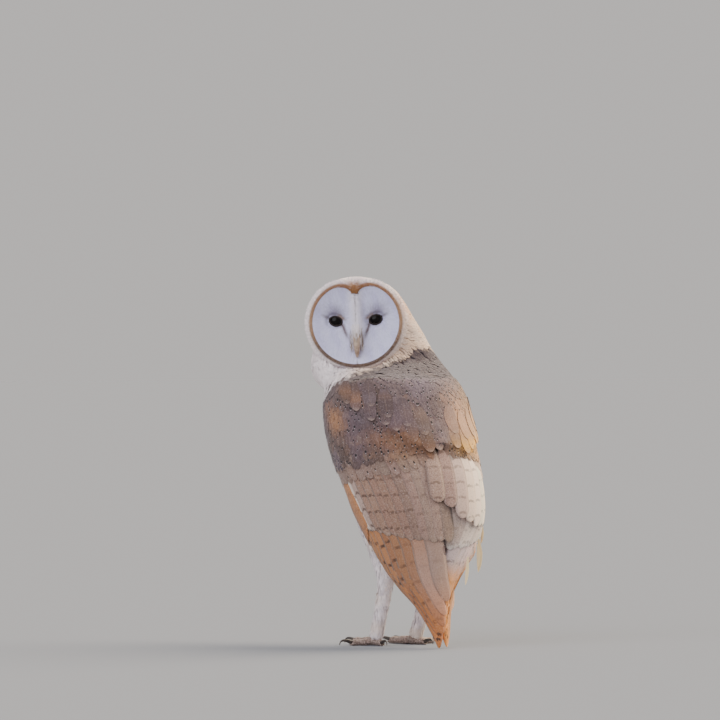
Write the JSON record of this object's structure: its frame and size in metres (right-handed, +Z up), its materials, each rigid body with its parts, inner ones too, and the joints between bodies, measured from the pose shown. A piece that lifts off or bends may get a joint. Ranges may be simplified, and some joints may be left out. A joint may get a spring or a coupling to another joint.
{
  "type": "barn owl",
  "caption": "Life-size still model of a barn owl, standing with wings folded and its face turned back over its shoulder.",
  "frame": {"origin": "on the ground beneath the middle of the bounding box, between and just behind the feet", "axes": "+Z up; the breast faces -Y; the owl's own left side is +X; the face is turned 147 degrees round to its left"},
  "size_m": [0.1424, 0.1854, 0.3423],
  "materials": {
    "face_plumage": "soft, fine white feathers, a brown heart-shaped rim and a pale crown",
    "neck_plumage": "soft buff hindneck feathers, white at the throat",
    "body_plumage": "dense soft white breast and belly feathers with small dark specks",
    "mantle_plumage": "grey-lilac veil over golden buff, with black and white spots",
    "wing_feathers": "golden buff and grey barred vanes, matt",
    "tail_feathers": "pale buff vanes with darker bars, matt",
    "leg_plumage": "short white down",
    "toe_skin": "bare grey-pink scaly skin",
    "claw_horn": "smooth dark horn",
    "bill_horn": "smooth ivory horn",
    "eye": "wet, almost black"
  },
  "bodies": {
    "root": {"head": "face_plumage", "neck": "neck_plumage", "trunk": "body_plumage", "tail": "tail_feathers", "wing_left": "wing_feathers", "wing_right": "wing_feathers", "scapulars_left": "mantle_plumage", "scapulars_right": "mantle_plumage", "thigh_left": "leg_plumage", "thigh_right": "leg_plumage", "shank_left": "leg_plumage", "shank_right": "leg_plumage", "foot_left": "toe_skin", "foot_right": "toe_skin", "eye_left": "eye", "eye_right": "eye", "bill_upper": "bill_horn", "bill_lower": "bill_horn", "claw_left_inner": "claw_horn", "claw_left_middle": "claw_horn", "claw_left_outer": "claw_horn", "claw_left_hind": "claw_horn", "claw_right_inner": "claw_horn", "claw_right_middle": "claw_horn", "claw_right_outer": "claw_horn", "claw_right_hind": "claw_horn"}
  },
  "joints": []
}
